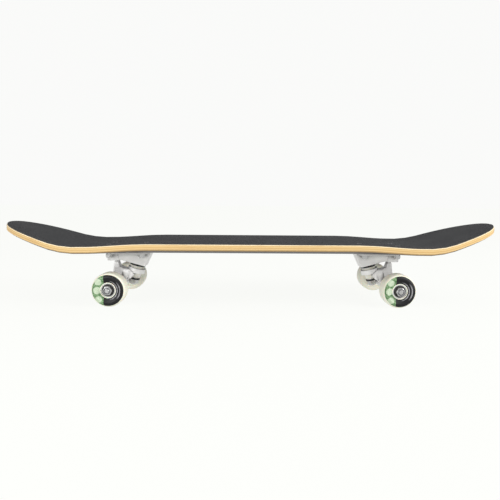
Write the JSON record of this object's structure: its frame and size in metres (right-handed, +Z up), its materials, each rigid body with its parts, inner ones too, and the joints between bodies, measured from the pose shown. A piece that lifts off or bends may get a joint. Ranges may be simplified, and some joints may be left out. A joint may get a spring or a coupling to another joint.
{
  "type": "skateboard",
  "caption": "Double-kick maple skateboard with griptape, two sprung pivoting trucks and freely rolling urethane wheels on shielded ball bearings.",
  "frame": {"origin": "on the floor under the middle of the deck", "axes": "+X along the deck from the nose to the tail, +Y to the right when facing the nose's opposite way, +Z up"},
  "size_m": [0.8, 0.197, 0.1276],
  "materials": {
    "maple": "clear-coated seven-ply maple with a thin dark bottom ply",
    "grit": "black silicon-carbide grit on film",
    "cast_alloy": "raw tumbled casting",
    "plated_steel": "zinc plated",
    "black_steel": "blackened",
    "bearing_steel": "ground and polished",
    "bushing_urethane": "translucent off-white urethane",
    "wheel_urethane": "cast white urethane with a printed outer face",
    "cup_nylon": "moulded black",
    "cage_nylon": "moulded natural nylon",
    "shield_rubber": "moulded black rubber on a thin steel ring"
  },
  "bodies": {
    "board": {"deck": "maple", "griptape": "grit", "front_baseplate": "cast_alloy", "front_pivot_cup": "cup_nylon", "front_kingpin": "plated_steel", "front_kingpin_nut": "plated_steel", "front_upper_washer": "black_steel", "front_lower_washer": "black_steel", "front_upper_bushing": "bushing_urethane", "front_lower_bushing": "bushing_urethane", "front_mounting_bolts": "black_steel", "front_mounting_nuts": "plated_steel", "rear_baseplate": "cast_alloy", "rear_pivot_cup": "cup_nylon", "rear_kingpin": "plated_steel", "rear_kingpin_nut": "plated_steel", "rear_upper_washer": "black_steel", "rear_lower_washer": "black_steel", "rear_upper_bushing": "bushing_urethane", "rear_lower_bushing": "bushing_urethane", "rear_mounting_bolts": "black_steel", "rear_mounting_nuts": "plated_steel"},
    "front_truck_hanger": {"front_hanger": "cast_alloy", "front_axle": "plated_steel", "front_speed_washers": "plated_steel", "front_axle_nuts": "plated_steel", "front_left_inner_races": "bearing_steel", "front_left_spacer": "plated_steel", "front_right_inner_races": "bearing_steel", "front_right_spacer": "plated_steel"},
    "rear_truck_hanger": {"rear_hanger": "cast_alloy", "rear_axle": "plated_steel", "rear_speed_washers": "plated_steel", "rear_axle_nuts": "plated_steel", "rear_left_inner_races": "bearing_steel", "rear_left_spacer": "plated_steel", "rear_right_inner_races": "bearing_steel", "rear_right_spacer": "plated_steel"},
    "front_left_wheel_assembly": {"front_left_wheel": "wheel_urethane", "front_left_outer_races": "bearing_steel", "front_left_shields": "shield_rubber"},
    "front_left_ball_sets": {"front_left_balls": "bearing_steel", "front_left_ball_cages": "cage_nylon"},
    "front_right_wheel_assembly": {"front_right_wheel": "wheel_urethane", "front_right_outer_races": "bearing_steel", "front_right_shields": "shield_rubber"},
    "front_right_ball_sets": {"front_right_balls": "bearing_steel", "front_right_ball_cages": "cage_nylon"},
    "rear_left_wheel_assembly": {"rear_left_wheel": "wheel_urethane", "rear_left_outer_races": "bearing_steel", "rear_left_shields": "shield_rubber"},
    "rear_left_ball_sets": {"rear_left_balls": "bearing_steel", "rear_left_ball_cages": "cage_nylon"},
    "rear_right_wheel_assembly": {"rear_right_wheel": "wheel_urethane", "rear_right_outer_races": "bearing_steel", "rear_right_shields": "shield_rubber"},
    "rear_right_ball_sets": {"rear_right_balls": "bearing_steel", "rear_right_ball_cages": "cage_nylon"}
  },
  "joints": [
    {"name": "front_steer", "type": "hinge", "parent": "board", "child": "front_truck_hanger", "pos_m": [-0.19475, 0, 0.04561], "axis": [-0.8281, 0, 0.5606], "range_deg": [-14, 14], "stiffness_Nm_per_rad": 40, "deforming": ["front_upper_bushing", "front_lower_bushing"]},
    {"name": "rear_steer", "type": "hinge", "parent": "board", "child": "rear_truck_hanger", "pos_m": [0.20095, 0, 0.04561], "axis": [0.8281, 0, 0.5606], "range_deg": [-14, 14], "stiffness_Nm_per_rad": 40, "deforming": ["rear_upper_bushing", "rear_lower_bushing"]},
    {"name": "front_left_wheel_spin", "type": "hinge", "parent": "front_truck_hanger", "child": "front_left_wheel_assembly", "pos_m": [-0.21955, -0.0765, 0.026], "axis": [0, 1, 0], "continuous": true},
    {"name": "front_left_balls_orbit", "type": "hinge", "parent": "front_truck_hanger", "child": "front_left_ball_sets", "pos_m": [-0.21955, -0.0765, 0.026], "axis": [0, 1, 0], "continuous": true},
    {"name": "front_right_wheel_spin", "type": "hinge", "parent": "front_truck_hanger", "child": "front_right_wheel_assembly", "pos_m": [-0.21955, 0.0765, 0.026], "axis": [0, 1, 0], "continuous": true},
    {"name": "front_right_balls_orbit", "type": "hinge", "parent": "front_truck_hanger", "child": "front_right_ball_sets", "pos_m": [-0.21955, 0.0765, 0.026], "axis": [0, 1, 0], "continuous": true},
    {"name": "rear_left_wheel_spin", "type": "hinge", "parent": "rear_truck_hanger", "child": "rear_left_wheel_assembly", "pos_m": [0.22575, -0.0765, 0.026], "axis": [0, 1, 0], "continuous": true},
    {"name": "rear_left_balls_orbit", "type": "hinge", "parent": "rear_truck_hanger", "child": "rear_left_ball_sets", "pos_m": [0.22575, -0.0765, 0.026], "axis": [0, 1, 0], "continuous": true},
    {"name": "rear_right_wheel_spin", "type": "hinge", "parent": "rear_truck_hanger", "child": "rear_right_wheel_assembly", "pos_m": [0.22575, 0.0765, 0.026], "axis": [0, 1, 0], "continuous": true},
    {"name": "rear_right_balls_orbit", "type": "hinge", "parent": "rear_truck_hanger", "child": "rear_right_ball_sets", "pos_m": [0.22575, 0.0765, 0.026], "axis": [0, 1, 0], "continuous": true}
  ],
  "couplings": [
    {"joint": "front_left_balls_orbit", "follows": "front_left_wheel_spin", "ratio": 0.632},
    {"joint": "front_right_balls_orbit", "follows": "front_right_wheel_spin", "ratio": 0.632},
    {"joint": "rear_left_balls_orbit", "follows": "rear_left_wheel_spin", "ratio": 0.632},
    {"joint": "rear_right_balls_orbit", "follows": "rear_right_wheel_spin", "ratio": 0.632}
  ]
}
